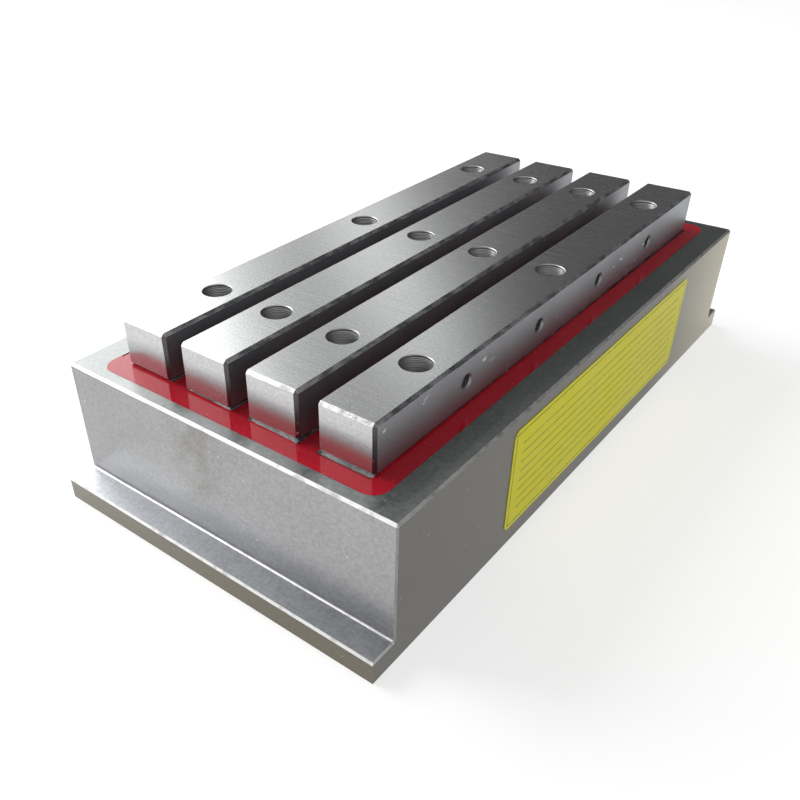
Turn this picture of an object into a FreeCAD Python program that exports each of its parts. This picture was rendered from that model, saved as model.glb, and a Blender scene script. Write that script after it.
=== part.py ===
import FreeCAD, Part
import math
import os

from FreeCAD import Vector

# Strip-pole electro-permanent magnetic chuck, in millimetres.
#
# A steel block is pocketed from above. Four poles stand in the pocket, each on a
# row of AlNiCo blocks with a winding round it and with neodymium magnets beside
# it, and red resin fills what is left and locks it in. A bar lies on each pole,
# held by socket screws that are sunk in the bar and screwed into the pole.
#
# Frame: the origin is on the base, under the middle of the body. X runs across
# the bars, Y along them and Z up. The electrical inlet is on the -X side.

# ------------------------------------------------------------- driving sizes

# Top bars
bar_count = 4
bar_width = 30.0
bar_length = 334.0
bar_height = 25.0
bar_pitch = 40.5
bar_chamfer = 1.5

# Socket screws that hold the bars down (M8), and their holes in bar and pole
screws_per_bar = 3
screw_pitch = 121.5
screw_row_shift = 3.5
screw_diameter = 8.0
screw_length = 20.0
screw_head_diameter = 13.0
screw_head_height = 8.0
screw_clearance_hole = 9.0
screw_counterbore = 15.0
screw_seat = 7.0
screw_hole_runout = 2.0
screw_hole_gap = 0.05

# Tapped holes for a side stop in the last bar's outer side (M8), at the tap drill's size
side_hole_count = 4
side_hole_drill = 6.8
side_hole_depth = 18.0
drill_point_angle = 118.0

# Lower poles: as wide as the bars, a little longer
pole_height = 30.0
pole_step = 1.0

# AlNiCo cores and their windings
core_width = 24.0
core_height = 25.0
blocks_per_core = 6
core_joint = 0.3
core_gap = 0.25
former_wall = 1.5
former_flange = 1.5
winding_build = 5.5
winding_gap = 0.1
winding_corner = 6.0

# Side magnets
magnets_per_row = 6
magnet_cover = 5.0
magnet_inset = 4.0
magnet_joint = 0.3

# Housing
floor_thickness = 20.0
side_wall = 15.0
end_wall = 7.5
side_gap = 5.0
end_gap = 9.5
pocket_corner = 8.0
ledge_depth = 15.0
ledge_height = 12.0
rim_chamfer = 1.2
corner_chamfer = 0.8
ledge_chamfer = 1.0
foot_fillet = 1.2
resin_drop = 0.8

# Copper straps from coil to coil and to the inlet
strap_height = 5.0
strap_thickness = 1.5
strap_overlap = 6.0
strap_wall_gap = 1.0

# Electrical inlet: a square metal shell on a flange, its tail through the wall
inlet_from_end = 55.0
flange_width = 42.0
flange_height = 34.0
flange_thickness = 3.0
flange_corner = 3.0
gasket_thickness = 1.0
collar_size = 25.0
collar_wall = 2.0
collar_length = 12.0
collar_chamfer = 1.5
tail_size = 20.0
tail_wall = 1.5
tail_setback = 1.0
tail_corner = 3.0
wall_opening_gap = 0.3
insert_gap = 0.1
pin_radius = 1.25
pin_spread = 4.5
pin_projection = 6.0
pin_hole_gap = 0.05

# Dust cap and its hinge
seal_thickness = 1.5
seal_gap = 0.2
seal_margin = 0.5
cap_thickness = 2.5
cap_overhang = 1.0
cap_edge = 0.8
tab_width = 9.0
tab_reach = 3.5
hinge_lift = 0.5
hinge_setback = 3.0
hinge_pin_radius = 1.2
hinge_running_gap = 0.05
hinge_press_gap = 0.02
knuckle_radius = 2.6
knuckle_width = 16.0
ear_width = 3.0
ear_gap = 0.25
hinge_pin_end = 0.5

# Sticker on the +X side
label_length = 208.0
label_height = 58.0
label_thickness = 0.3
label_corner = 4.0
label_shift = 8.0
label_base = 9.8

# ------------------------------------------------------------- derived sizes

coil_side = core_gap + former_wall + winding_build
coil_width = core_width + 2 * coil_side
pole_length = bar_length + 2 * pole_step
core_row = pole_length - 2 * coil_side
magnet_length = pole_length - 2 * magnet_inset

pocket_width = (bar_count - 1) * bar_pitch + coil_width + 2 * side_gap
pocket_length = pole_length + 2 * end_gap
body_width = pocket_width + 2 * side_wall
body_length = pocket_length + 2 * end_wall
core_top = floor_thickness + core_height
body_height = core_top + pole_height
face_height = body_height + bar_height
seat_height = body_height + screw_seat
resin_top = body_height - resin_drop
magnet_top = body_height - magnet_cover

bar_centres = [(i - (bar_count - 1) / 2) * bar_pitch for i in range(bar_count)]
screw_rows = [screw_row_shift + (i - (screws_per_bar - 1) / 2) * screw_pitch
              for i in range(screws_per_bar)]
side_hole_pitch = bar_length / (side_hole_count + 1)

inlet_y = body_length / 2 - inlet_from_end
inlet_z = floor_thickness + core_height / 2
strap_levels = {"upper": inlet_z + pin_spread, "lower": inlet_z - pin_spread}
strap_side = strap_wall_gap - pocket_width / 2

# Distances out from the -X side of the body
flange_face = gasket_thickness + flange_thickness
collar_mouth = flange_face + collar_length
cap_inner = collar_mouth + seal_gap + seal_thickness
cap_outer = cap_inner + cap_thickness
hinge_out = cap_inner - hinge_setback + knuckle_radius / 2
tail_end = tail_setback - side_wall
strap_face = -side_wall - strap_wall_gap

# Heights above the inlet's axis
hinge_up = collar_size / 2 + hinge_lift + knuckle_radius
ear_start = knuckle_width / 2 + ear_gap

UP = Vector(0, 0, 1)
ACROSS = Vector(1, 0, 0)
ALONG = Vector(0, 1, 0)
OUTWARD = Vector(-1, 0, 0)


# ------------------------------------------------------------- small helpers

def about(centre, size):
    """The low and high values of a span centred on a value."""
    return (centre - size / 2, centre + size / 2)


def block(x, y, z):
    """A box between the low and high values of each axis."""
    return Part.makeBox(x[1] - x[0], y[1] - y[0], z[1] - z[0], Vector(x[0], y[0], z[0]))


def edges_along(shape, direction):
    """The straight edges of a box that run along a direction."""
    return [e for e in shape.Edges if abs(e.tangentAt(e.FirstParameter).dot(direction)) > 0.99]


def edges_where(shape, test):
    """The edges of a shape whose centre passes a test."""
    return [e for e in shape.Edges if test(e.CenterOfMass)]


def near(a, b):
    return abs(a - b) < 0.01


def group(solids):
    """Separate solids that share one node."""
    return Part.makeCompound(solids)


# ------------------------------------------------------------- housing

def housing_blank():
    """The side outline with its two ledges, extruded across the body."""
    end = body_length / 2
    toe = end + ledge_depth
    outline = [
        (-toe, 0), (toe, 0), (toe, ledge_height), (end, ledge_height), (end, body_height),
        (-end, body_height), (-end, ledge_height), (-toe, ledge_height),
    ]
    points = [Vector(-body_width / 2, y, z) for y, z in outline]
    face = Part.Face(Part.makePolygon(points + points[:1]))
    blank = face.extrude(Vector(body_width, 0, 0))
    foot = edges_where(blank, lambda c: near(abs(c.y), end) and near(c.z, ledge_height))
    blank = blank.makeFillet(foot_fillet, foot)
    corner = edges_where(blank, lambda c: near(abs(c.y), end) and near(abs(c.x), body_width / 2))
    blank = blank.makeChamfer(corner_chamfer, corner)
    ledge = edges_where(blank, lambda c: near(abs(c.y), toe) and near(c.z, ledge_height))
    blank = blank.makeChamfer(ledge_chamfer, ledge)
    rim = edges_where(blank, lambda c: near(c.z, body_height))
    return blank.makeChamfer(rim_chamfer, rim)


def pocket(top):
    """The rounded pocket, from its floor up to a height."""
    space = block(about(0, pocket_width), about(0, pocket_length), (floor_thickness, top))
    return space.makeFillet(pocket_corner, edges_along(space, UP))


def wall_opening():
    """The milled opening in the -X wall for the tail of the inlet's shell."""
    return tail_block((-side_wall, 0), wall_opening_gap)


def make_housing():
    """The body, with its pocket and the inlet's opening."""
    return housing_blank().cut([pocket(body_height), wall_opening()])


# ------------------------------------------------------------- bars and poles

def make_bar(index):
    """A top bar, counterbored from above; the last one also has the side stop's holes."""
    x = bar_centres[index]
    bar = block(about(x, bar_width), about(0, bar_length), (body_height, face_height))
    bar = bar.makeChamfer(bar_chamfer, bar.Edges)
    cuts = []
    for y in screw_rows:
        cuts.append(Part.makeCylinder(screw_clearance_hole / 2, bar_height,
                                      Vector(x, y, body_height), UP))
        cuts.append(Part.makeCylinder(screw_counterbore / 2, face_height - seat_height,
                                      Vector(x, y, seat_height), UP))
    if index == bar_count - 1:
        cuts += side_holes(x + bar_width / 2)
    return bar.cut(cuts)


def side_holes(side):
    """Blind tapped holes at mid-height, drilled in from a bar's +X side."""
    radius = side_hole_drill / 2
    point = radius / math.tan(math.radians(drill_point_angle / 2))
    cuts = []
    for i in range(side_hole_count):
        y = (i - (side_hole_count - 1) / 2) * side_hole_pitch
        mouth = Vector(side, y, body_height + bar_height / 2)
        end = mouth - Vector(side_hole_depth, 0, 0)
        cuts.append(Part.makeCylinder(radius, side_hole_depth, end, ACROSS))
        cuts.append(Part.makeCone(0, radius, point, end - ACROSS * point, ACROSS))
    return cuts


def pole_block(x):
    return block(about(x, bar_width), about(0, pole_length), (core_top, body_height))


def make_lower_pole(x):
    """The potted pole, with a tapped hole under each screw of its bar."""
    depth = screw_length - screw_seat + screw_hole_runout
    radius = screw_diameter / 2 + screw_hole_gap
    holes = [Part.makeCylinder(radius, depth, Vector(x, y, body_height), -UP) for y in screw_rows]
    return pole_block(x).cut(holes)


def make_screws():
    """The socket screws: a head on the counterbore's seat and a plain shank into the pole."""
    screws = []
    for x in bar_centres:
        for y in screw_rows:
            seat = Vector(x, y, seat_height)
            head = Part.makeCylinder(screw_head_diameter / 2, screw_head_height, seat, UP)
            shank = Part.makeCylinder(screw_diameter / 2, screw_length, seat, -UP)
            screws.append(head.fuse(shank))
    return group(screws)


# ------------------------------------------------------------- cores, windings, magnets

def row_of_blocks(x, z, length, count, joint):
    """Equal blocks end to end along Y, with a thin joint between them."""
    pitch = (length + joint) / count
    return group([block(x, about((i - (count - 1) / 2) * pitch, pitch - joint), z)
                  for i in range(count)])


def make_core(x):
    """A row of cast AlNiCo blocks under a pole."""
    return row_of_blocks(about(x, core_width), (floor_thickness, core_top), core_row,
                         blocks_per_core, core_joint)


def round_the_core(x, margin, low, high):
    """A block round the row of cores that stands a margin off it on all four sides."""
    return block(about(x, core_width + 2 * margin), about(0, core_row + 2 * margin), (low, high))


def make_former(x):
    """The bobbin: a wall round the core between two flanges."""
    wall = round_the_core(x, core_gap + former_wall, floor_thickness, core_top)
    flanges = [
        round_the_core(x, coil_side, floor_thickness, floor_thickness + former_flange),
        round_the_core(x, coil_side, core_top - former_flange, core_top),
    ]
    window = round_the_core(x, core_gap, floor_thickness, core_top)
    return wall.fuse(flanges).cut(window).removeSplitter()


def make_winding(x):
    """The copper winding between the flanges of its former."""
    low = floor_thickness + former_flange
    high = core_top - former_flange
    outer = round_the_core(x, coil_side, low, high)
    outer = outer.makeFillet(winding_corner, edges_along(outer, UP))
    return outer.cut(round_the_core(x, core_gap + former_wall + winding_gap, low, high))


def magnet_row_spans():
    """The X span of each row of magnets: outside, between and outside the poles."""
    edges = [-pocket_width / 2]
    for x in bar_centres:
        edges += about(x, bar_width)
    edges.append(pocket_width / 2)
    return [(edges[i], edges[i + 1]) for i in range(0, len(edges), 2)]


def magnet_row(span):
    """The whole space of one row of magnets."""
    return block(span, about(0, magnet_length), (core_top, magnet_top))


def make_magnets(span):
    """A row of flat magnets between or beside the poles."""
    return row_of_blocks(span, (core_top, magnet_top), magnet_length, magnets_per_row,
                         magnet_joint)


# ------------------------------------------------------------- copper straps

def strap(x, y, level):
    return block(x, y, about(strap_levels[level], strap_height))


def make_coil_links():
    """Straps across the rear ends of neighbouring windings, which join them in series."""
    end = pole_length / 2
    return group([
        strap((left + strap_overlap, right - strap_overlap), (end, end + strap_thickness), "upper")
        for left, right in zip(bar_centres, bar_centres[1:])
    ])


def supply_lead(coil_x, level):
    """A strap from the end of a winding, round the corner, to a pin of the inlet."""
    end = pole_length / 2
    across = strap((strap_side, coil_x - strap_overlap), (end, end + strap_thickness), level)
    along = strap((strap_side, strap_side + strap_thickness),
                  (inlet_y - 2 * pin_radius, end + strap_thickness), level)
    return across.fuse(along).removeSplitter()


def make_supply_leads():
    return group([supply_lead(bar_centres[0], "upper"), supply_lead(bar_centres[-1], "lower")])


# ------------------------------------------------------------- potting

def make_resin():
    """What is left of the pocket once its contents are in."""
    contents = [pole_block(x) for x in bar_centres]
    contents += [round_the_core(x, coil_side, floor_thickness, core_top) for x in bar_centres]
    contents += [magnet_row(span) for span in magnet_row_spans()]
    contents += make_coil_links().Solids + make_supply_leads().Solids
    contents.append(insert_body(strap_face, -side_wall))
    return pocket(resin_top).cut(contents).removeSplitter()


# ------------------------------------------------------------- electrical inlet

def inlet_block(out, y, z):
    """A box at the inlet, from distances out of the -X side and offsets from its axis."""
    side = -body_width / 2
    return block((side - out[1], side - out[0]), (inlet_y + y[0], inlet_y + y[1]),
                 (inlet_z + z[0], inlet_z + z[1]))


def square_bar(out, size):
    return inlet_block(out, about(0, size), about(0, size))


def tail_block(out, gap=0):
    """The rounded outline of the tail, or of an opening that clears it by a gap."""
    tail = square_bar(out, tail_size + 2 * gap)
    return tail.makeFillet(tail_corner + gap, edges_along(tail, OUTWARD))


def flange_plate(out):
    """The outline of flange and gasket, with its corners cut off."""
    plate = inlet_block(out, about(0, flange_width), about(0, flange_height))
    return plate.makeChamfer(flange_corner, edges_along(plate, OUTWARD))


def hinge_rod(low, high, radius):
    """A cylinder on the hinge axis between two offsets along Y."""
    centre = Vector(-body_width / 2 - hinge_out, inlet_y + low, inlet_z + hinge_up)
    return Part.makeCylinder(radius, high - low, centre, ALONG)


def hinge_ear(low):
    """A lug of the shell that holds one end of the hinge pin."""
    span = (low, low + ear_width)
    arm = inlet_block((gasket_thickness, hinge_out), span, about(hinge_up, 2 * knuckle_radius))
    bore = hinge_rod(*span, hinge_pin_radius + hinge_press_gap)
    return arm.fuse(hinge_rod(*span, knuckle_radius)).cut(bore)


def make_shell():
    """The inlet's metal shell: flange, square collar, tail and hinge ears."""
    collar = square_bar((gasket_thickness, collar_mouth), collar_size)
    collar = collar.makeChamfer(collar_chamfer, edges_along(collar, OUTWARD))
    tail = tail_block((tail_end, gasket_thickness))
    ears = [hinge_ear(ear_start), hinge_ear(-ear_start - ear_width)]
    shell = flange_plate((gasket_thickness, flange_face)).fuse([collar, tail] + ears)
    cuts = [
        square_bar((flange_face, collar_mouth), collar_size - 2 * collar_wall),
        square_bar((tail_end, flange_face), tail_size - 2 * tail_wall),
    ]
    return shell.cut(cuts).removeSplitter()


def make_gasket():
    return flange_plate((0, gasket_thickness)).cut(tail_block((0, gasket_thickness)))


def insert_body(start, end):
    """A stretch of the insulator's square outline."""
    return square_bar((start, end), tail_size - 2 * (tail_wall + insert_gap))


def supply_pins(end, radius):
    """The two round pins, from the straps out to a distance from the -X side."""
    return [
        Part.makeCylinder(radius, end - strap_face,
                          Vector(-body_width / 2 - strap_face, inlet_y, inlet_z + z), OUTWARD)
        for z in (-pin_spread, pin_spread)
    ]


def make_insert():
    """The moulded insulator that carries the pins, from the straps to the flange's face."""
    holes = supply_pins(flange_face, pin_radius + pin_hole_gap)
    return insert_body(strap_face, flange_face).cut(holes)


def make_pins():
    return group(supply_pins(flange_face + pin_projection, pin_radius))


# ------------------------------------------------------------- dust cap

def make_cap():
    """The lid: a bevelled plate, a finger tab below and a knuckle above."""
    half = collar_size / 2
    plate = inlet_block((cap_inner, cap_outer), about(0, collar_size + 2 * cap_overhang),
                        (-half - cap_overhang, half))
    face = edges_where(plate, lambda c: near(c.x, -body_width / 2 - cap_outer))
    plate = plate.makeChamfer(cap_edge, face)
    tab = inlet_block((cap_inner, cap_outer - cap_edge), about(0, tab_width),
                      (-half - cap_overhang - tab_reach, -half))
    arm = inlet_block((cap_inner, hinge_out + knuckle_radius), about(0, knuckle_width),
                      (half / 2, hinge_up))
    knuckle = hinge_rod(*about(0, knuckle_width), knuckle_radius)
    bore = hinge_rod(*about(0, knuckle_width), hinge_pin_radius + hinge_running_gap)
    return plate.fuse([tab, arm, knuckle]).cut(bore).removeSplitter()


def make_cap_seal():
    """The flat rubber seal bonded inside the lid."""
    start = collar_mouth + seal_gap
    return square_bar((start, start + seal_thickness), collar_size - 2 * seal_margin)


def make_hinge_pin():
    reach = ear_start + ear_width + hinge_pin_end
    return hinge_rod(-reach, reach, hinge_pin_radius)


# ------------------------------------------------------------- sticker

def make_label():
    """The sticker on the +X side."""
    plate = block((body_width / 2, body_width / 2 + label_thickness),
                  about(label_shift, label_length), (label_base, label_base + label_height))
    return plate.makeFillet(label_corner, edges_along(plate, OUTWARD))


# ------------------------------------------------------------- nodes

def build():
    """Every node by name."""
    nodes = {"housing": make_housing(), "resin_fill": make_resin()}
    for number, x in enumerate(bar_centres, 1):
        nodes[f"pole_bar_{number}"] = make_bar(number - 1)
        nodes[f"lower_pole_{number}"] = make_lower_pole(x)
        nodes[f"alnico_core_{number}"] = make_core(x)
        nodes[f"coil_former_{number}"] = make_former(x)
        nodes[f"coil_{number}"] = make_winding(x)
    for number, span in enumerate(magnet_row_spans(), 1):
        nodes[f"side_magnets_{number}"] = make_magnets(span)
    nodes["bar_screws"] = make_screws()
    nodes["coil_links"] = make_coil_links()
    nodes["supply_leads"] = make_supply_leads()
    nodes["inlet_shell"] = make_shell()
    nodes["inlet_gasket"] = make_gasket()
    nodes["inlet_insert"] = make_insert()
    nodes["inlet_pins"] = make_pins()
    nodes["dust_cap"] = make_cap()
    nodes["cap_seal"] = make_cap_seal()
    nodes["cap_hinge_pin"] = make_hinge_pin()
    nodes["side_label"] = make_label()
    return nodes


os.makedirs("parts", exist_ok=True)
for name, shape in build().items():
    shape.exportStep(f"parts/{name}.step")
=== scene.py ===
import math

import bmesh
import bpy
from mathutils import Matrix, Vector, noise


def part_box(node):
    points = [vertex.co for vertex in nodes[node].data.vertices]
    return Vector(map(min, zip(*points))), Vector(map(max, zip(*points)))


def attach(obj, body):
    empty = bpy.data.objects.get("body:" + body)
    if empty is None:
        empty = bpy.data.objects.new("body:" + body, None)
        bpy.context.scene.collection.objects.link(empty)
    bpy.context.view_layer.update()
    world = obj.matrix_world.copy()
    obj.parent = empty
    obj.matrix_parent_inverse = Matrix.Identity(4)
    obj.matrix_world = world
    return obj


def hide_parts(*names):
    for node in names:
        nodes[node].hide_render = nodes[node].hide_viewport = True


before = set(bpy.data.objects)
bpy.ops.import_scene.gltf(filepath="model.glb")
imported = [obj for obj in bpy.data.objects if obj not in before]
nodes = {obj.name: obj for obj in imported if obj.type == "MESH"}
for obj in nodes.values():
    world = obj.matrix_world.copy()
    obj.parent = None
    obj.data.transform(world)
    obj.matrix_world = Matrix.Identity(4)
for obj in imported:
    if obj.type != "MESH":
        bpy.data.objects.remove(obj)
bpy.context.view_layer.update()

# %% [markdown]
# # A magnetic chuck with four pole bars
# This notebook dresses the engineering model of a magnetic chuck: a ground steel
# block with a pocket, red resin poured into it, and four steel bars on top that
# carry the pull of the magnets. The engineering parts are already in the scene.
# Each cell below adds one piece or one finish. Everything is in metres, with the
# block's bottom on the floor at Z = 0 and the bars running along Y.

MM = 0.001

# %% [markdown]
# ## Camera
# The camera comes first, because it decides how every later piece is seen.
# It stands a little over half a metre from the block, to the right of its front
# corner, and looks down on it. A normal lens is used, and the camera
# is tipped sideways by about a degree. The frame is shifted a little sideways and upwards, as a
# view camera does it, so the picture is framed without turning the lens away.

# %% Camera
EYE = Vector((0.2317, -0.3761, 0.2771))
LOOK = Vector((-0.5224, 0.6274, -0.5775))
ROLL = math.radians(1.31)

camera = bpy.data.objects.new("camera", bpy.data.cameras.new("camera"))
bpy.context.scene.collection.objects.link(camera)
turn = LOOK.to_track_quat("-Z", "Y").to_matrix() @ Matrix.Rotation(-ROLL, 3, "Z")
camera.matrix_world = Matrix.Translation(EYE) @ turn.to_4x4()
camera.data.sensor_width = 36.0
camera.data.lens = 37.25
camera.data.shift_x = 0.0761
camera.data.shift_y = 0.0531
camera.data.clip_start = 0.01
bpy.context.scene.camera = camera
bpy.context.scene.view_settings.view_transform = "Standard"
print("camera at", tuple(round(v, 3) for v in EYE), "lens", camera.data.lens)

# %% [markdown]
# ## A short way to write materials
# Every finish here is a small graph of nodes: noise for the grain, a range for how
# strongly it shows, a mix for the colour. Wiring those by hand takes five lines
# each time, so this cell gives them short names. A value that is the same all over
# the surface is always typed straight into the shader's own socket.

# %% Material helper
class Finish:
    """A material under construction. Its calls return output sockets to plug in further on."""

    def __init__(self, name, colour, metallic=0.0, roughness=0.5, **sockets):
        self.material = bpy.data.materials.new(name)
        self.material.use_nodes = True
        self.tree = self.material.node_tree
        self.shader = self.tree.nodes["Principled BSDF"]
        self.set("Base Color", (*colour, 1.0))
        self.set("Metallic", metallic)
        self.set("Roughness", roughness)
        for socket, value in sockets.items():
            self.set(socket.replace("_", " "), value)
        coordinates = self.add("ShaderNodeTexCoord")
        self.place = coordinates.outputs["Object"]
        self.facing = self.parts(coordinates.outputs["Normal"])

    def add(self, kind, **settings):
        node = self.tree.nodes.new(kind)
        for setting, value in settings.items():
            setattr(node, setting, value)
        return node

    def plug(self, value, socket):
        """Links an output to a socket, or types a plain value into it."""
        if isinstance(value, bpy.types.NodeSocket):
            self.tree.links.new(value, socket)
        elif isinstance(value, tuple) and socket.type == "RGBA":
            socket.default_value = (*value[:3], 1.0)
        else:
            socket.default_value = value

    def set(self, socket, value):
        self.plug(value, self.shader.inputs[socket])

    def parts(self, vector):
        node = self.add("ShaderNodeSeparateXYZ")
        self.plug(vector, node.inputs[0])
        return node.outputs

    def math(self, operation, a, b=0.0):
        node = self.add("ShaderNodeMath", operation=operation)
        self.plug(a, node.inputs[0])
        self.plug(b, node.inputs[1])
        return node.outputs[0]

    def mapped(self, scale=(1, 1, 1), turned=(0, 0, 0)):
        """Object coordinates in metres, scaled so that a large number means fine detail."""
        node = self.add("ShaderNodeMapping")
        self.plug(self.place, node.inputs["Vector"])
        self.plug(scale, node.inputs["Scale"])
        self.plug(turned, node.inputs["Rotation"])
        return node.outputs[0]

    def noise(self, scale, detail=2.0, vector=None):
        node = self.add("ShaderNodeTexNoise")
        self.plug(vector or self.place, node.inputs["Vector"])
        self.plug(scale, node.inputs["Scale"])
        self.plug(detail, node.inputs["Detail"])
        return node.outputs["Fac"]

    def span(self, value, low, high, start=0.0, end=1.0):
        """Values from low to high become start to end, and hold there beyond."""
        node = self.add("ShaderNodeMapRange", clamp=True)
        for socket, number in zip(node.inputs, (value, low, high, start, end)):
            self.plug(number, socket)
        return node.outputs[0]

    def mix(self, factor, a, b, blend="MIX"):
        node = self.add("ShaderNodeMix", data_type="RGBA", blend_type=blend, clamp_factor=True)
        self.plug(factor, node.inputs[0])
        self.plug(a, node.inputs[6])
        self.plug(b, node.inputs[7])
        return node.outputs[2]

    def faces(self, axis, low=0.9, high=0.97):
        """1 on the faces that look along an axis ('X', 'Y' or 'Z'), either way, and 0 elsewhere."""
        return self.span(self.math("ABSOLUTE", self.facing[axis]), low, high)

    def chamfers(self, first, second):
        """1 on chamfers and fillets between the faces of two axes, and 0 elsewhere."""
        both = self.math("MULTIPLY", self.facing[first], self.facing[second])
        return self.span(self.math("ABSOLUTE", both), 0.2, 0.35)

    def bump(self, height, strength, depth):
        node = self.add("ShaderNodeBump")
        self.plug(strength, node.inputs["Strength"])
        self.plug(depth, node.inputs["Distance"])
        self.plug(height, node.inputs["Height"])
        self.set("Normal", node.outputs[0])


print("materials are made with", Finish.__name__)

# %% [markdown]
# ## Floor and world
# The block stands on a seamless white floor. The floor adds a little light of its
# own for the lens and for reflections only, so it reads as white while the shadow
# under the block stays in it, and it throws no extra light on the steel. The world
# does the same: white where it is seen or mirrored, and a plain pale grey where it
# only lights.

# %% Floor and world
def light_path(tree):
    """1 where a ray comes from the lens, a reflection or glass, and 0 where it only lights."""
    path = tree.nodes.new("ShaderNodeLightPath")
    total = path.outputs["Is Camera Ray"]
    for other in ("Is Glossy Ray", "Is Transmission Ray"):
        either = tree.nodes.new("ShaderNodeMath")
        either.operation = "MAXIMUM"
        tree.links.new(total, either.inputs[0])
        tree.links.new(path.outputs[other], either.inputs[1])
        total = either.outputs[0]
    return total


def stage_piece(name, bm):
    """Puts a bmesh in the scene as part of the studio."""
    mesh = bpy.data.meshes.new(name)
    bm.to_mesh(mesh)
    bm.free()
    piece = bpy.data.objects.new(name, mesh)
    bpy.context.scene.collection.objects.link(piece)
    return piece


def flat_card(name, width, height, place):
    """A flat rectangle that faces +Z before its place is applied."""
    bm = bmesh.new()
    bmesh.ops.create_grid(bm, x_segments=1, y_segments=1, size=0.5)
    bmesh.ops.scale(bm, vec=(width, height, 1), verts=bm.verts)
    bmesh.ops.transform(bm, matrix=place, verts=bm.verts)
    return stage_piece(name, bm)


FLOOR_SIZE = 9.0
FLOOR_GLOW = 0.66
floor = flat_card("floor", FLOOR_SIZE, FLOOR_SIZE, Matrix.Identity(4))
floor_paint = Finish("floor_paint", (0.55, 0.55, 0.55), roughness=1.0,
                     Specular_IOR_Level=0.0, Emission_Color=(1, 1, 1, 1))
glow = floor_paint.math("MULTIPLY", light_path(floor_paint.tree), FLOOR_GLOW)
floor_paint.set("Emission Strength", glow)
floor.data.materials.append(floor_paint.material)

WORLD_LIGHT = 0.34
world = bpy.data.worlds.new("studio")
world.use_nodes = True
bpy.context.scene.world = world
sky = world.node_tree.nodes["Background"]
level = world.node_tree.nodes.new("ShaderNodeMapRange")
world.node_tree.links.new(light_path(world.node_tree), level.inputs[0])
level.inputs[3].default_value = WORLD_LIGHT
level.inputs[4].default_value = 1.0
world.node_tree.links.new(level.outputs[0], sky.inputs["Strength"])
sky.inputs["Color"].default_value = (1, 1, 1, 1)
print("floor", FLOOR_SIZE, "m wide; world light", WORLD_LIGHT)

# %% [markdown]
# ## Lamps
# A large soft lamp stands to the left of the block and does most of the lighting.
# A second bright sheet behind it on the left is what the bars' tops mirror. On the
# right two lamps lift the shaded side: a weak high one, and one so low that it lights
# the upright side and hardly touches the level resin. That one is kept out of
# reflections, where it would show as a streak.

# %% Lamps
def towards(azimuth, elevation, distance):
    """A point seen from the block in a direction given in degrees."""
    a, e = math.radians(azimuth), math.radians(elevation)
    return distance * Vector((math.cos(e) * math.cos(a), math.cos(e) * math.sin(a), math.sin(e)))


def soft_lamp(name, azimuth, elevation, distance, width, height, radiance):
    """A rectangular lamp that looks at the block; its power follows from how bright its face is."""
    data = bpy.data.lights.new(name, "AREA")
    data.shape = "RECTANGLE"
    data.size, data.size_y = width, height
    data.energy = radiance * math.pi * width * height
    lamp = bpy.data.objects.new(name, data)
    place = towards(azimuth, elevation, distance)
    lamp.matrix_world = (Matrix.Translation(place)
                         @ (-place).to_track_quat("-Z", "Y").to_matrix().to_4x4())
    bpy.context.scene.collection.objects.link(lamp)
    return lamp


soft_lamp("left_window", 192, 36, 2.2, 1.5, 1.2, 6.0)
soft_lamp("rear_window", 158, 30, 2.6, 1.3, 1.5, 1.9)
soft_lamp("right_fill", -35, 22, 2.4, 1.2, 1.2, 0.2)
low_fill = soft_lamp("low_fill", -8, 6, 2.4, 1.6, 0.45, 4.6)
low_fill.visible_glossy = False
print("lamps are up")

# %% [markdown]
# ## The room that the steel mirrors
# Bare steel has hardly any colour of its own: it shows the room. In an all-white
# room it looks like grey paint. So a round wall stands about the block that only
# reflections see. It is bright on the left, fades through grey behind the block and
# is dark on the right, with one narrow slanted window. The wall is an upright edge
# spun round the block, and its brightness is a colour ramp over the compass angle.

# %% Mirrored room
WALL_RADIUS = 4.2
WALL_TOP = 7.0
WALL_BRIGHTNESS = (
    (-180, 0.95), (-80, 0.75), (-20, 0.55), (30, 0.4), (46, 0.12), (114, 0.1),
    (123, 0.22), (133, 0.45), (140, 0.95), (180, 0.95),
)


def for_reflections_only(card, paint):
    for ray in ("camera", "diffuse", "transmission", "volume_scatter", "shadow"):
        setattr(card, "visible_" + ray, False)
    card.data.materials.append(paint.material)


def card_paint(name, brightness):
    return Finish(name, (0, 0, 0), roughness=1.0, Specular_IOR_Level=0.0,
                  Emission_Color=(1, 1, 1, 1), Emission_Strength=brightness)


def round_wall():
    """An upright edge spun round the block."""
    bm = bmesh.new()
    low = bm.verts.new((WALL_RADIUS, 0, 0.02))
    high = bm.verts.new((WALL_RADIUS, 0, WALL_TOP))
    edge = bm.edges.new((low, high))
    bmesh.ops.spin(bm, geom=[low, high, edge], cent=(0, 0, 0), axis=(0, 0, 1),
                   angle=math.tau, steps=96, use_merge=True)
    return stage_piece("mirrored_room", bm)


def room_paint():
    """Emission that follows the angle round the block."""
    paint = card_paint("room_paint", 1.0)
    x, y, _ = paint.parts(paint.place)
    turn = paint.math("DIVIDE", paint.math("ARCTAN2", y, x), math.tau)
    ramp = paint.add("ShaderNodeValToRGB")
    paint.plug(paint.math("ADD", turn, 0.5), ramp.inputs[0])
    stops = ramp.color_ramp.elements
    while len(stops) < len(WALL_BRIGHTNESS):
        stops.new(0.5)
    for stop, (azimuth, brightness) in zip(stops, WALL_BRIGHTNESS):
        stop.position = azimuth / 360 + 0.5
        stop.color = (brightness, brightness, brightness, 1)
    paint.set("Emission Color", ramp.outputs[0])
    return paint


for_reflections_only(round_wall(), room_paint())

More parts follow.
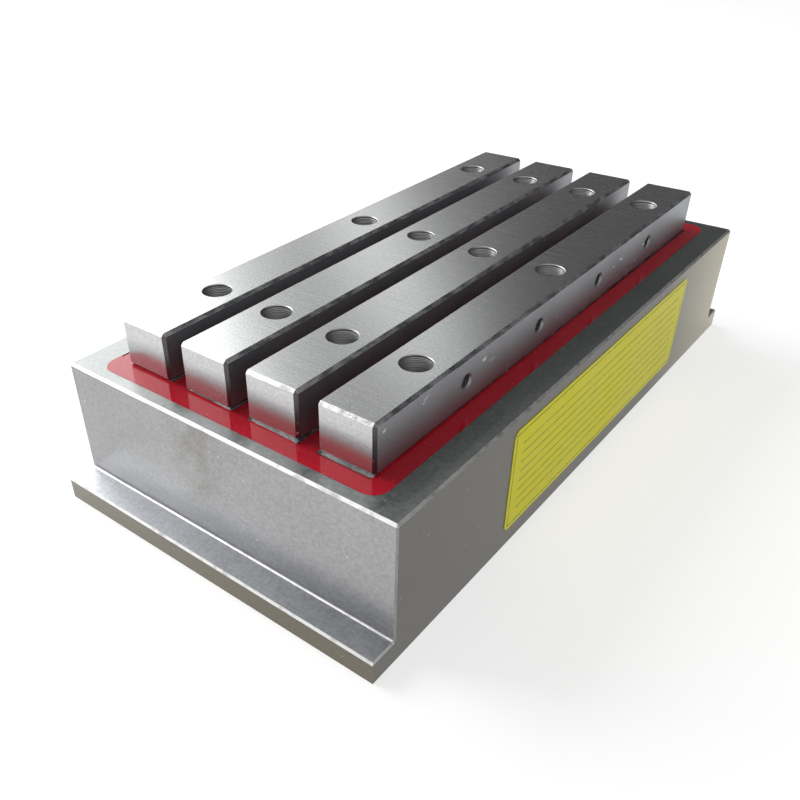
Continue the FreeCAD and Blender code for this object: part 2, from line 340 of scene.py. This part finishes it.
slant = Matrix.Rotation(math.radians(-30), 4, "Z")
window_place = towards(126, 27, 2.8)
window_turn = (-window_place).to_track_quat("Z", "Y").to_matrix().to_4x4() @ slant
window = flat_card("slanted_window", 0.26, 1.1, Matrix.Translation(window_place) @ window_turn)
for_reflections_only(window, card_paint("window_paint", 1.5))
print("room wall", WALL_RADIUS, "m from the block")

# %% [markdown]
# ## Making solid pieces
# A new piece starts as a bmesh: Blender's own editable mesh, which takes the same
# operators as the editor. These helpers do what every piece needs. Doubled points
# are welded, all faces are turned outwards, and curved faces are shaded smooth
# while corners sharper than nine degrees stay crisp, because a flat face that
# shared its shading with a narrow bevel would look bent. The piece then rides on a
# body of the engineering model.

# %% Piece helpers
def as_object(name, bm, *materials):
    """Welds a bmesh, turns its faces outwards and puts it in the scene."""
    bmesh.ops.remove_doubles(bm, verts=bm.verts, dist=0.001 * MM)
    bmesh.ops.recalc_face_normals(bm, faces=bm.faces)
    mesh = bpy.data.meshes.new(name)
    bm.to_mesh(mesh)
    bm.free()
    for material in materials:
        mesh.materials.append(material)
    thing = bpy.data.objects.new(name, mesh)
    bpy.context.scene.collection.objects.link(thing)
    return thing


def install(piece, body, slot, *replaced):
    """Shades a finished piece, ties it to its body and hides the nodes it stands for. The slot is not
    used.
    """
    piece.data.shade_smooth()
    piece.data.set_sharp_from_angle(angle=math.radians(9))
    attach(piece, body)
    if replaced:
        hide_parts(*replaced)
    print(piece.name, "has", len(piece.data.polygons), "faces")
    return piece


def remove(thing):
    """Deletes a helper object together with its mesh."""
    mesh = thing.data
    bpy.data.objects.remove(thing)
    bpy.data.meshes.remove(mesh)


def carve(blank, cutters):
    """Cuts closed shapes out of a blank for good. The cut faces take the cutter's finish."""
    for cutter in cutters:
        cut = blank.modifiers.new(cutter.name, "BOOLEAN")
        cut.operation = "DIFFERENCE"
        cut.solver = "EXACT"
        cut.material_mode = "TRANSFER"
        cut.object = cutter
    graph = bpy.context.evaluated_depsgraph_get()
    carved = bpy.data.meshes.new_from_object(blank.evaluated_get(graph))
    plain = blank.data
    blank.modifiers.clear()
    blank.data = carved
    bpy.data.meshes.remove(plain)
    for cutter in cutters:
        remove(cutter)
    return blank


def turned(outline, steps=48):
    """A turned solid: an outline of (radius, height) points, from axis to axis, spun about Z."""
    bm = bmesh.new()
    verts = [bm.verts.new((radius, 0, height)) for radius, height in outline]
    edges = [bm.edges.new(pair) for pair in zip(verts, verts[1:])]
    bmesh.ops.spin(bm, geom=verts + edges, cent=(0, 0, 0), axis=(0, 0, 1),
                   angle=math.tau, steps=steps, use_merge=True)
    return bm


def stamped(bm, places):
    """The same shape once at each place, in one bmesh."""
    stamp = bpy.data.meshes.new("stamp")
    bmesh.ops.remove_doubles(bm, verts=bm.verts, dist=0.001 * MM)
    bmesh.ops.recalc_face_normals(bm, faces=bm.faces)
    bm.to_mesh(stamp)
    bm.free()
    together = bmesh.new()
    for place in places:
        copy = stamp.copy()
        copy.transform(place)
        together.from_mesh(copy)
        bpy.data.meshes.remove(copy)
    bpy.data.meshes.remove(stamp)
    return together


print("pieces are cut with", carve.__name__, "and turned with", turned.__name__)

# %% [markdown]
# ## Screw threads
# A thread is one tooth swept along a helix. The spin operator does exactly that
# when each step also moves a little along the axis: one whole turn lifts the tooth
# by the pitch, so neighbouring turns meet and weld. The ragged ends are cut off
# square with two planes and closed. The same rod serves twice, as the shank of a
# screw and as the tool that cuts a tapped hole.

# %% Threaded rod
THREAD_DEPTH = 0.541


def threaded_rod(radius, pitch, turns, steps=42):
    """A closed metric thread along +Z from 0, with its crest at the given radius."""
    root = radius - THREAD_DEPTH * pitch
    tooth = [(root, 0), (root, 0.25), (radius, 0.5625), (radius, 0.6875), (root, 1)]
    bm = bmesh.new()
    verts = [bm.verts.new((r, 0, (h - 1) * pitch)) for r, h in tooth]
    edges = [bm.edges.new(pair) for pair in zip(verts, verts[1:])]
    bmesh.ops.spin(bm, geom=verts + edges, cent=(0, 0, 0), axis=(0, 0, 1),
                   dvec=(0, 0, pitch / steps), angle=math.tau * (turns + 2),
                   steps=steps * (turns + 2))
    bmesh.ops.remove_doubles(bm, verts=bm.verts, dist=0.01 * MM)
    for height, outward in ((0.1 * pitch, -1), ((turns + 0.1) * pitch, 1)):
        cut = bmesh.ops.bisect_plane(bm, geom=bm.verts[:] + bm.edges[:] + bm.faces[:],
                                     dist=0.001 * MM, plane_co=(0, 0, height),
                                     plane_no=(0, 0, outward), clear_outer=True)
        rim = [g for g in cut["geom_cut"] if isinstance(g, bmesh.types.BMEdge)]
        bmesh.ops.edgeloop_fill(bm, edges=rim)
    bmesh.ops.translate(bm, vec=(0, 0, -0.1 * pitch), verts=bm.verts)
    return bm


print("a rod's tooth is", THREAD_DEPTH, "of its pitch deep")

# %% [markdown]
# ## Ground steel
# The body is a block of mild steel. Its faces come from different machines, so each
# has its own look: the rim is finely ground and mirrors the room softly, the ends
# have a fine orange-peel mottle, the ledges show milling lines across them, and the
# long sides are duller. Each face's base tone is also set to how brightly it is lit,
# which is painted light: the long sides carry a painted reflection from dark at the
# front to pale yellowish at the far end, and the ledge's front face has painted shade
# towards the right. The broken edges are brightened, partly as wear from handling and
# partly as a painted highlight, and the upright corners are painted dark as painted
# shade. One material does all of it, by asking which way each face looks and how high
# it lies, so the finishes meet exactly on the edges.

# %% Steel shared by body and bars
# Bright tone for broken edges and marks: partly wear, partly painted highlight.
BRIGHT_EDGE = (0.86, 0.86, 0.85)


def flat_faces(finish):
    """1 on faces square to an axis and 0 on chamfers and fillets."""
    along_two = finish.math("MAXIMUM", finish.faces("X"), finish.faces("Y"))
    return finish.math("MAXIMUM", along_two, finish.faces("Z"))


def fleck(finish, scale, rarity, vector=None):
    """Small bright marks: the peaks of a fine noise, where a coarse one lets them through."""
    fine = finish.noise(scale, 3.0, vector)
    coarse = finish.noise(scale * 0.12, 1.0, vector)
    return finish.math("MULTIPLY", finish.span(fine, rarity, rarity + 0.04),
                       finish.span(coarse, 0.52, 0.6))


print("steel helpers ready")

# %% The body's finish
def body_steel():
    steel = Finish("ground_body_steel", (0.4, 0.4, 0.4), metallic=1.0, roughness=0.34)
    x, y, z = steel.parts(steel.place)
    top, side, end = steel.faces("Z"), steel.faces("X"), steel.faces("Y")

    mottle = steel.noise(620, 3.0)
    cloud = steel.noise(22, 2.0)
    across = steel.noise(1.0, 2.0, steel.mapped(scale=(900, 25, 900)))
    along = steel.noise(1.0, 2.0, steel.mapped(scale=(40, 700, 900)))

    # Each face's base tone is partly its finish and partly painted light, set to how brightly that
    # face is lit.
    end_tone = steel.mix(cloud, (0.33, 0.33, 0.33), (0.41, 0.41, 0.415))
    stain_reach = steel.math("ABSOLUTE", steel.math("ADD", x, 0.012))
    stain = steel.math("MULTIPLY", steel.span(stain_reach, 0.004, 0.022, 1.0, 0.0),
                       steel.span(steel.noise(70, 3.0), 0.38, 0.62))
    stain = steel.math("MULTIPLY", stain, steel.span(z, 0.02, 0.05))
    end_tone = steel.mix(steel.math("MULTIPLY", stain, 0.4), end_tone, (0.2, 0.18, 0.13))
    # Painted reflection: the long sides run from dark at the front to pale yellowish at the far end.
    side_tone = steel.mix(steel.span(y, 0.08, 0.2), (0.17, 0.165, 0.155), (0.5, 0.47, 0.36))
    top_tone = steel.mix(cloud, (0.26, 0.28, 0.27), (0.35, 0.36, 0.36))
    low = steel.span(z, 0.0119, 0.0125, 1.0, 0.0)
    # Painted shade: the ledge's front face gets darker towards the right.
    ledge_end = steel.mix(steel.span(x, -0.1, 0.05), (0.25, 0.235, 0.2), (0.17, 0.155, 0.12))
    ledge_top = steel.mix(across, (0.38, 0.39, 0.42), (0.5, 0.51, 0.54))

    tone = steel.mix(end, side_tone, steel.mix(low, end_tone, ledge_end))
    tone = steel.mix(top, tone, steel.mix(low, top_tone, ledge_top))
    grain = steel.span(mottle, 0.3, 0.7, 0.86, 1.12)
    tone = steel.mix(1.0, tone, grain, "MULTIPLY")
    # Chamfers and fillets are brightened: partly wear, partly painted highlight.
    worn_and_highlit = steel.math("SUBTRACT", 1.0, flat_faces(steel))
    worn_and_highlit = steel.math("MULTIPLY", worn_and_highlit, steel.span(steel.noise(160, 3.0), 0.3, 0.5, 0.55, 1.0))
    tone = steel.mix(worn_and_highlit, tone, BRIGHT_EDGE)
    # Painted shade: the upright corner chamfers are painted dark.
    tone = steel.mix(steel.math("MULTIPLY", steel.chamfers("X", "Y"), 0.85), tone, (0.16, 0.16, 0.155))
    tone = steel.mix(steel.math("MULTIPLY", fleck(steel, 420, 0.7), 0.5), tone, BRIGHT_EDGE)
    steel.set("Base Color", tone)

    rough = steel.span(mottle, 0.3, 0.7, 0.3, 0.4)
    steel.set("Roughness", steel.math("ADD", rough, steel.math("MULTIPLY", side, 0.08)))
    lines = steel.math("MULTIPLY", steel.math("ADD", across, along), top)
    steel.bump(steel.math("ADD", mottle, lines), 0.35, 0.00006)
    return steel.material


def dress(finish, *names):
    """Gives CAD pieces a finish in place of the plain one they came with."""
    for name in names:
        piece = nodes[name]
        piece.data.materials.clear()
        piece.data.materials.append(finish)


dress(body_steel(), "housing")
print("body dressed")

# %% [markdown]
# ## The pole bars
# The bars are cut from flat bar and surface ground on top, with the wheel running
# across them, so the light smears along the bar. Their ends are sawn and sanded,
# their chamfers milled. Each face's base tone is also set to how brightly it is lit,
# which is painted light: the ends are painted brighter as a painted reflection, the
# chamfers are brightened partly as wear and partly as a painted highlight, and the
# upright corners are painted dark as painted shade. Years of steel plates sliding
# over them leave short bright nicks, mostly on the two bars on the right.

# %% Bar finish
def bar_steel():
    steel = Finish("ground_bar_steel", (0.5, 0.5, 0.5), metallic=1.0, roughness=0.28)
    x = steel.parts(steel.place)[0]
    top, side, end = steel.faces("Z"), steel.faces("X"), steel.faces("Y")

    wheel = steel.noise(1.0, 3.0, steel.mapped(scale=(30, 1400, 30)))
    sanding = steel.noise(1.0, 2.0, steel.mapped(scale=(60, 60, 900)))
    cloud = steel.noise(30, 2.0)
    pitting = steel.noise(900, 2.0)

    # Each face's base tone is partly its finish and partly painted light; the ends are painted
    # brighter as a painted reflection.
    top_tone = steel.mix(wheel, (0.54, 0.55, 0.55), (0.59, 0.6, 0.6))
    end_tone = steel.mix(sanding, (0.52, 0.515, 0.525), (0.66, 0.655, 0.665))
    side_tone = steel.mix(cloud, (0.3, 0.31, 0.33), (0.44, 0.45, 0.47))
    tone = steel.mix(end, side_tone, end_tone)
    tone = steel.mix(top, tone, top_tone)
    tone = steel.mix(1.0, tone, steel.span(pitting, 0.3, 0.7, 0.9, 1.08), "MULTIPLY")

    # Chamfers are brightened: partly wear, partly painted highlight.
    worn_and_highlit = steel.math("SUBTRACT", 1.0, flat_faces(steel))
    worn_and_highlit = steel.math("MULTIPLY", worn_and_highlit, steel.span(steel.noise(230, 4.0), 0.35, 0.6, 0.25, 1.0))
    tone = steel.mix(worn_and_highlit, tone, BRIGHT_EDGE)
    long_edge = steel.chamfers("X", "Z")
    filed = steel.noise(1.0, 3.0, steel.mapped(scale=(300, 120, 300)))
    long_tone = steel.mix(steel.span(filed, 0.4, 0.62), (0.3, 0.31, 0.32), (0.8, 0.82, 0.84))
    tone = steel.mix(long_edge, tone, long_tone)
    # Painted shade: the upright corner chamfers are painted dark.
    tone = steel.mix(steel.chamfers("X", "Y"), tone, (0.1, 0.095, 0.1))
    slanted = steel.mapped(scale=(1.0, 0.35, 1.0), turned=(0, 0, 0.5))
    nicks = steel.math("MULTIPLY", fleck(steel, 330, 0.66, slanted), steel.span(x, -0.02, 0.03))
    nicks = steel.math("MULTIPLY", nicks, steel.math("SUBTRACT", 1.0, end))
    tone = steel.mix(steel.math("MULTIPLY", nicks, 0.8), tone, (0.95, 0.95, 0.95))
    steel.set("Base Color", tone)

    rough = steel.span(wheel, 0.3, 0.7, 0.23, 0.28)
    steel.set("Roughness", steel.math("ADD", rough, steel.math("MULTIPLY", side, 0.2)))
    relief = steel.math("MULTIPLY", steel.math("MULTIPLY", wheel, top), 0.2)
    relief = steel.math("ADD", relief, steel.math("MULTIPLY", pitting, 0.4))
    steel.bump(steel.math("SUBTRACT", relief, nicks), 0.3, 0.00005)
    return steel.material


bar_finish = bar_steel()
dress(bar_finish, *[f"lower_pole_{i}" for i in range(1, 5)])
print("bars and poles dressed")

# %% [markdown]
# ## Potting resin
# The pocket is filled with a red casting resin, poured warm. It levels itself like
# glass, but it creeps a little up the wall of the pocket and the feet of the poles.
# A smooth surface over a saturated body colour gives the wet look.

# %% Resin finish
def resin_red():
    resin = Finish("red_resin", (0.6, 0.015, 0.035), roughness=0.08, IOR=1.52)
    cloud = resin.noise(28, 3.0)
    speck = resin.noise(900, 2.0)
    tone = resin.mix(cloud, (0.5, 0.008, 0.022), (0.58, 0.012, 0.03))
    tone = resin.mix(resin.span(speck, 0.7, 0.76), tone, (0.7, 0.25, 0.25))
    resin.set("Base Color", tone)
    resin.set("Roughness", resin.span(resin.noise(60, 2.0), 0.3, 0.7, 0.05, 0.12))
    resin.bump(resin.noise(45, 2.0), 0.12, 0.0006)
    return resin.material


resin_finish = resin_red()
dress(resin_finish, "resin_fill")
print("resin dressed")

# %% [markdown]
# ## The yellow plate on the side
# The side carries a yellow vinyl plate with rounded corners, a thin dark line round
# its edge and ruled lines to write on. The pattern is measured from the plate's own
# corners, so it stays centred if the plate changes.

# %% Plate finish
def ruled_vinyl(low, high):
    vinyl = Finish("yellow_vinyl", (0.82, 0.78, 0.03), roughness=0.45,
                   Specular_IOR_Level=0.1)
    _, y, z = vinyl.parts(vinyl.place)
    middle = (low + high) / 2
    half = (high - low) / 2
    off_y = vinyl.math("ABSOLUTE", vinyl.math("SUBTRACT", y, middle.y))
    off_z = vinyl.math("ABSOLUTE", vinyl.math("SUBTRACT", z, middle.z))

    def line(distance, at, width):
        away = vinyl.math("ABSOLUTE", vinyl.math("SUBTRACT", distance, at))
        return vinyl.span(away, width * 0.35, width * 0.65, 1.0, 0.0)

    inset = 2.4 * MM
    inside_y = vinyl.math("LESS_THAN", off_y, half.y - inset + 0.2 * MM)
    inside_z = vinyl.math("LESS_THAN", off_z, half.z - inset + 0.2 * MM)
    border_y = vinyl.math("MULTIPLY", line(off_y, half.y - inset, 0.5 * MM), inside_z)
    border_z = vinyl.math("MULTIPLY", line(off_z, half.z - inset, 0.5 * MM), inside_y)
    border = vinyl.math("MAXIMUM", border_y, border_z)

    pitch = 5.4 * MM
    row = vinyl.math("PINGPONG", vinyl.math("SUBTRACT", z, middle.z), pitch / 2)
    ruling = line(row, pitch / 2, 0.45 * MM)
    room_y = vinyl.math("LESS_THAN", off_y, half.y - 9 * MM)
    room_z = vinyl.math("LESS_THAN", off_z, half.z - 7 * MM)
    ruling = vinyl.math("MULTIPLY", vinyl.math("MULTIPLY", ruling, room_y), room_z)
    print_wear = vinyl.span(vinyl.noise(160, 3.0), 0.3, 0.55, 0.45, 1.0)
    ink = vinyl.math("MULTIPLY", vinyl.math("MAXIMUM", border, ruling), print_wear)

    cloud = vinyl.noise(18, 3.0)
    tone = vinyl.mix(cloud, (0.84, 0.78, 0.02), (0.9, 0.85, 0.03))
    grime = vinyl.span(vinyl.noise(90, 4.0), 0.62, 0.75)
    tone = vinyl.mix(vinyl.math("MULTIPLY", grime, 0.25), tone, (0.45, 0.4, 0.06))
    tone = vinyl.mix(ink, tone, (0.05, 0.045, 0.02))
    vinyl.set("Base Color", tone)
    vinyl.set("Roughness", vinyl.span(cloud, 0.3, 0.7, 0.32, 0.44))
    vinyl.bump(vinyl.noise(70, 2.0), 0.2, 0.0003)
    return vinyl.material


dress(ruled_vinyl(*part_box("side_label")), "side_label")
print("plate dressed")

# %% [markdown]
# ## New pole bars
# The engineering bars are right in shape, but their holes are plain. These bars
# start as the same block with the same milled chamfer, and a second, tiny bevel
# breaks the edges that are left. The counterbores are cut with a turned shape that
# has a broken mouth and fine tool rings down its wall. The side holes of the last
# bar are drilled, countersunk and tapped with a threaded rod.

# %% Bars
CHAMFER = 1.5 * MM
SCREW_HEAD = 6.5 * MM
HEAD_HEIGHT = 8 * MM
M8_RADIUS = 4 * MM
M8_DRILL = 3.4 * MM
M8_PITCH = 1.25 * MM
SIDE_HOLES = 4
EDGE_BREAK = 0.12 * MM
MOUTH = 0.4 * MM
COUNTERBORE = 7.5 * MM
CLEARANCE = 4.5 * MM
RING_PITCH = 0.9 * MM
RING_DEPTH = 0.22 * MM

screws_low, screws_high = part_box("bar_screws")
screw_rows = [screws_low.y + SCREW_HEAD, (screws_low.y + screws_high.y) / 2,
              screws_high.y - SCREW_HEAD]
seat = screws_high.z - HEAD_HEIGHT


def counterbore(face):
    """The outline of a screw's hole from below the bar to above its face."""
    outline = [(0, seat - 9 * MM), (CLEARANCE, seat - 9 * MM), (CLEARANCE, seat)]
    height = seat
    while height < face - 1.5 * RING_PITCH:
        outline += [(COUNTERBORE, height), (COUNTERBORE + RING_DEPTH, height + RING_PITCH / 2)]
        height += RING_PITCH
    outline += [(COUNTERBORE, height), (COUNTERBORE, face - MOUTH)]
    return outline + [(COUNTERBORE + 2 * MOUTH, face + MOUTH), (0, face + MOUTH)]


def tapped_holes(side, length, height):
    """The cutters of four M8 holes drilled in along -X: drill and countersink, then tap."""
    drill = [(0, -20 * MM), (M8_DRILL, -18 * MM), (M8_DRILL, -0.9 * MM),
             (4.7 * MM, MOUTH), (0, MOUTH)]
    spacing = length / (SIDE_HOLES + 1)
    first = (1 - SIDE_HOLES) / 2
    places = [Matrix.Translation((side, (i + first) * spacing, height))
              @ Matrix.Rotation(math.pi / 2, 4, "Y") for i in range(SIDE_HOLES)]
    tap_places = [place @ Matrix.Translation((0, 0, -15 * MM)) for place in places]
    tap = threaded_rod(M8_RADIUS, M8_PITCH, 12)
    return [as_object("drill", stamped(turned(drill), places), bored),
            as_object("tap", stamped(tap, tap_places), bored)]


def make_bar(number, steel):
    """One bar, cut from a block with the size of its engineering node."""
    node = f"pole_bar_{number}"
    low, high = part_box(node)
    bm = bmesh.new()
    bmesh.ops.create_cube(bm, size=1)
    bmesh.ops.scale(bm, vec=high - low, verts=bm.verts)
    bmesh.ops.translate(bm, vec=(low + high) / 2, verts=bm.verts)
    for offset, segments in ((CHAMFER, 1), (EDGE_BREAK, 2)):
        bmesh.ops.bevel(bm, geom=bm.edges[:], offset=offset, segments=segments, profile=0.5,
                        affect="EDGES", material=-1)
    bar = as_object(f"bar_{number}", bm, steel)
    middle = (low.x + high.x) / 2
    places = [Matrix.Translation((middle, y, 0)) for y in screw_rows]
    cutters = [as_object("counterbores", stamped(turned(counterbore(high.z)), places), bored)]
    if number == 4:
        cutters += tapped_holes(high.x, high.y - low.y, (low.z + high.z) / 2)
    return install(carve(bar, cutters), "chuck", "milled_bar_steel", node)


def bored_steel():
    """The inside of drilled and bored holes: brighter and rougher, with cutting lines."""
    steel = Finish("bored_steel", (0.55, 0.55, 0.56), metallic=1.0, roughness=0.42)
    lines = steel.noise(1.0, 2.0, steel.mapped(scale=(60, 60, 2200)))
    steel.set("Base Color", steel.mix(lines, (0.14, 0.145, 0.155), (0.55, 0.55, 0.55)))
    steel.bump(lines, 0.4, 0.0001)
    return steel.material


bored = bored_steel()
for number in range(1, 5):
    make_bar(number, bar_finish)

# %% [markdown]
# ## Socket screws
# Twelve M8 cap screws hold the bars down. One is made and stamped twelve times: a
# turned head with a knurled side, a hexagonal socket cut into it, and a threaded
# shank below. The same shape at a smaller size holds the inlet's flange.

# %% Screws
def black_oxide():
    oxide = Finish("black_oxide", (0.03, 0.03, 0.035), metallic=0.6, roughness=0.4)
    cloud = oxide.noise(300, 3.0)
    oxide.set("Base Color", oxide.mix(cloud, (0.02, 0.02, 0.024), (0.07, 0.068, 0.065)))
    oxide.bump(oxide.noise(1500, 2.0), 0.2, 0.00005)
    return oxide.material


def socket_screw(name, head, height, key, shank, pitch, turns, places, finish):
    """Cap screws whose heads stand on the XY plane of each place."""
    knurl = 48
    rim = head - 0.06 * head
    body = turned([(0, 0), (rim, 0), (head, 0.06 * head), (head, 0.88 * height), (rim, height),
                   (0, height)], knurl)
    bmesh.ops.remove_doubles(body, verts=body.verts, dist=0.001 * MM)
    for v in body.verts:
        index = round(math.atan2(v.co.y, v.co.x) / math.tau * knurl)
        if index % 2 and v.co.xy.length > 0.97 * head:
            v.co.xy *= 0.965
    hexagon = bmesh.new()
    bmesh.ops.create_cone(hexagon, cap_ends=True, segments=6, radius1=key, radius2=key,
                          depth=height)
    bmesh.ops.translate(hexagon, vec=(0, 0, height), verts=hexagon.verts)
    rods = threaded_rod(shank, pitch, turns)
    bmesh.ops.translate(rods, vec=(0, 0, -turns * pitch), verts=rods.verts)
    one = carve(as_object(name, body, finish), [as_object("key", hexagon, finish)])
    rods_mesh = as_object("rods", rods, finish)
    bm = bmesh.new()
    bm.from_mesh(one.data)
    bm.from_mesh(rods_mesh.data)
    remove(one)
    remove(rods_mesh)
    return as_object(name, stamped(bm, places), finish)


centres = [(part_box(f"pole_bar_{i}")[0].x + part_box(f"pole_bar_{i}")[1].x) / 2 for i in range(1, 5)]
bar_places = [Matrix.Translation((x, y, seat)) for x in centres for y in screw_rows]
oxide = black_oxide()
install(socket_screw("cap_screws", SCREW_HEAD, HEAD_HEIGHT, 3.4 * MM, M8_RADIUS, M8_PITCH,
                     16, bar_places, oxide), "chuck", "black_oxide_steel", "bar_screws")

flange_low, flange_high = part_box("inlet_shell")
middle_y = (flange_low.y + flange_high.y) / 2
middle_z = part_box("cap_seal")[0].z / 2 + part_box("cap_seal")[1].z / 2
FLANGE_THICKNESS = 3 * MM
SCREW_OFF_Y = 17 * MM
SCREW_OFF_Z = 13 * MM
flange_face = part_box("inlet_gasket")[0].x - FLANGE_THICKNESS
flange_places = [Matrix.Translation((flange_face, middle_y + y * SCREW_OFF_Y,
                                      middle_z + z * SCREW_OFF_Z))
                 @ Matrix.Rotation(-math.pi / 2, 4, "Y") for y in (-1, 1) for z in (-1, 1)]
install(socket_screw("flange_screws", 2.6 * MM, 2.4 * MM, 1.4 * MM, 1.5 * MM, 0.5 * MM, 16,
                     flange_places, oxide), "chuck", "black_oxide_steel")

# %% [markdown]
# ## The creeping edge of the resin
# Poured resin creeps up what it wets. A narrow ring with a hollow upper face runs
# round the pocket and round each pole, and at the pocket it laps a little over the
# rim, where it was trimmed by hand and left uneven. Each ring is a stack of
# rounded outlines joined by bridges.

# %% Resin edges
resin_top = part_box("resin_fill")[1].z


def outline_loop(bm, low, high, radius, grow, height, waver):
    """The edges of a rounded rectangle round a box, grown outwards and made uneven."""
    grid = bmesh.ops.create_grid(bm, x_segments=1, y_segments=1, size=0.5)
    verts = grid["verts"]
    bmesh.ops.scale(bm, vec=(high.x - low.x, high.y - low.y, 1), verts=verts)
    bmesh.ops.translate(bm, vec=((low.x + high.x) / 2, (low.y + high.y) / 2, height), verts=verts)
    made = bmesh.ops.bevel(bm, geom=verts, offset=radius, segments=6, profile=0.5,
                           affect="VERTICES", material=-1)
    face = next(f for f in made["verts"][0].link_faces)
    edges = list(face.edges)
    bmesh.ops.delete(bm, geom=[face], context="FACES_ONLY")
    straight = [e for e in edges if e.calc_length() > 10 * MM]
    parts = bmesh.ops.subdivide_edges(bm, edges=straight, cuts=70)
    edges += [g for g in parts["geom_inner"] if isinstance(g, bmesh.types.BMEdge)]
    edges = list({e for e in edges if e.is_valid})
    for v in {v for e in edges for v in e.verts}:
        core = Vector((min(max(v.co.x, low.x + radius), high.x - radius),
                       min(max(v.co.y, low.y + radius), high.y - radius), height))
        out = (v.co - core).normalized()
        uneven = max(0, noise.noise(v.co * 45) + 0.6 * noise.noise(v.co * 170))
        v.co += out * (grow + waver * uneven)
    return edges


def creeping_ring(name, low, high, radius, section):
    """A closed ring from (grow, height, waver) outlines, the last bridged to the first."""
    bm = bmesh.new()
    loops = [outline_loop(bm, low, high, radius, *point) for point in section]
    for loop, following in zip(loops, loops[1:] + loops[:1]):
        bmesh.ops.bridge_loops(bm, edges=loop + following)
    return install(as_object(name, bm, resin_finish), "chuck", "potting_resin")


POCKET_CORNER = 8 * MM
POLE_CORNER = 0.4 * MM
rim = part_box("housing")[1].z
pocket_low, pocket_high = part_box("resin_fill")
lap = 0.1 * MM
creeping_ring("resin_lap", pocket_low, pocket_high, POCKET_CORNER, [
    (0.1 * MM, rim + 0.02 * MM, 0.9 * MM), (0.05 * MM, rim + lap, 0.7 * MM),
    (-0.4 * MM, resin_top + 0.45 * MM, 0), (-0.9 * MM, resin_top + 0.12 * MM, 0),
    (-1.6 * MM, resin_top + 0.01 * MM, 0), (-1.6 * MM, resin_top - 0.3 * MM, 0),
    (-0.02 * MM, resin_top - 0.3 * MM, 0),
])
for number in range(1, 5):
    low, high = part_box(f"lower_pole_{number}")
    creeping_ring(f"resin_foot_{number}", low, high, POLE_CORNER, [
        (0.02 * MM, resin_top + 0.55 * MM, 0), (0.3 * MM, resin_top + 0.25 * MM, 0.1 * MM),
        (0.8 * MM, resin_top + 0.08 * MM, 0.3 * MM), (1.4 * MM, resin_top + 0.01 * MM, 0.4 * MM),
        (1.4 * MM, resin_top - 0.3 * MM, 0.4 * MM), (0.02 * MM, resin_top - 0.3 * MM, 0),
    ])

# %% [markdown]
# ## Finishes for the pieces inside and for the inlet
# The magnets, windings and copper straps are sealed under the resin, and the inlet
# sits on the far side. Each still has its own finish, so the chuck can be taken
# apart on screen. They are variations of one recipe: two tones of a colour mixed by
# a cloudy noise, and a fine relief.

# %% Small finishes
def grained(name, dark, light, metallic, roughness, scale, relief, stretch=(1, 1, 1)):
    """Two tones mixed by a noise at the given scale, with a relief of the given depth."""
    finish = Finish(name, light, metallic=metallic, roughness=roughness)
    grain = finish.noise(scale, 3.0, finish.mapped(scale=stretch))
    finish.set("Base Color", finish.mix(finish.span(grain, 0.3, 0.7), dark, light))
    finish.set("Roughness", finish.span(grain, 0.3, 0.7, roughness, roughness + 0.12))
    finish.bump(grain, 0.5, relief)
    return finish.material


def each(stem, count):
    return [f"{stem}_{i}" for i in range(1, count + 1)]


dress(grained("cast_alnico", (0.16, 0.16, 0.165), (0.3, 0.3, 0.31), 0.9, 0.55, 260, 0.0003),
      *each("alnico_core", 4))
dress(grained("former_plastic", (0.74, 0.71, 0.6), (0.82, 0.8, 0.71), 0, 0.5, 400, 0.00005),
      *each("coil_former", 4))
dress(grained("winding_copper", (0.36, 0.09, 0.03), (0.72, 0.3, 0.12), 0.9, 0.25, 1.0, 0.0004,
              stretch=(8, 8, 1000)), *each("coil", 4))
dress(grained("strap_copper", (0.6, 0.26, 0.12), (0.8, 0.42, 0.24), 1.0, 0.3, 90, 0.00005),
      "coil_links", "supply_leads")
dress(grained("magnet_nickel", (0.55, 0.54, 0.5), (0.7, 0.69, 0.66), 1.0, 0.22, 60, 0.00003),
      *each("side_magnets", 5))
dress(grained("black_rubber", (0.015, 0.015, 0.015), (0.03, 0.03, 0.03), 0, 0.65, 900, 0.0001),
      "inlet_gasket")
dress(grained("insulator_plastic", (0.05, 0.05, 0.055), (0.08, 0.08, 0.085), 0, 0.4, 700,
              0.00004), "inlet_insert")
dress(grained("silvered_pins", (0.7, 0.68, 0.6), (0.85, 0.83, 0.78), 1.0, 0.2, 500, 0.00002),
      "inlet_pins")
dress(grained("pin_steel", (0.4, 0.4, 0.41), (0.6, 0.6, 0.61), 1.0, 0.25, 1.0, 0.00003,
              stretch=(900, 30, 900)), "cap_hinge_pin")
print("small pieces dressed")

# %% [markdown]
# ## Inlet castings with rounded edges
# Die-cast and moulded parts have no sharp edges. A copy of the engineering mesh is
# welded and its flat triangles joined into whole faces, and then the edges sharper
# than thirty degrees are bevelled. The copy stands for the engineering piece.

# %% Softened castings
def softened(node, body, slot, width, finish):
    bm = bmesh.new()
    bm.from_mesh(nodes[node].data)
    bmesh.ops.remove_doubles(bm, verts=bm.verts, dist=0.001 * MM)
    bmesh.ops.dissolve_limit(bm, angle_limit=math.radians(1), verts=bm.verts, edges=bm.edges)
    sharp = [e for e in bm.edges if e.is_manifold and e.calc_face_angle() > math.radians(30)]
    bmesh.ops.bevel(bm, geom=sharp, offset=width, segments=2, profile=0.5, affect="EDGES",
                    material=-1, clamp_overlap=True)
    return install(as_object(node + "_soft", bm, finish), body, slot, node)


casting = grained("diecast_alloy", (0.34, 0.35, 0.36), (0.5, 0.51, 0.53), 1.0, 0.38, 500, 0.0001)
rubber = grained("seal_rubber", (0.015, 0.015, 0.015), (0.03, 0.03, 0.03), 0, 0.6, 900, 0.0001)
softened("inlet_shell", "chuck", "diecast_alloy", 0.25 * MM, casting)
softened("dust_cap", "cap", "diecast_alloy", 0.25 * MM, casting)
softened("cap_seal", "cap", "black_rubber", 0.2 * MM, rubber)
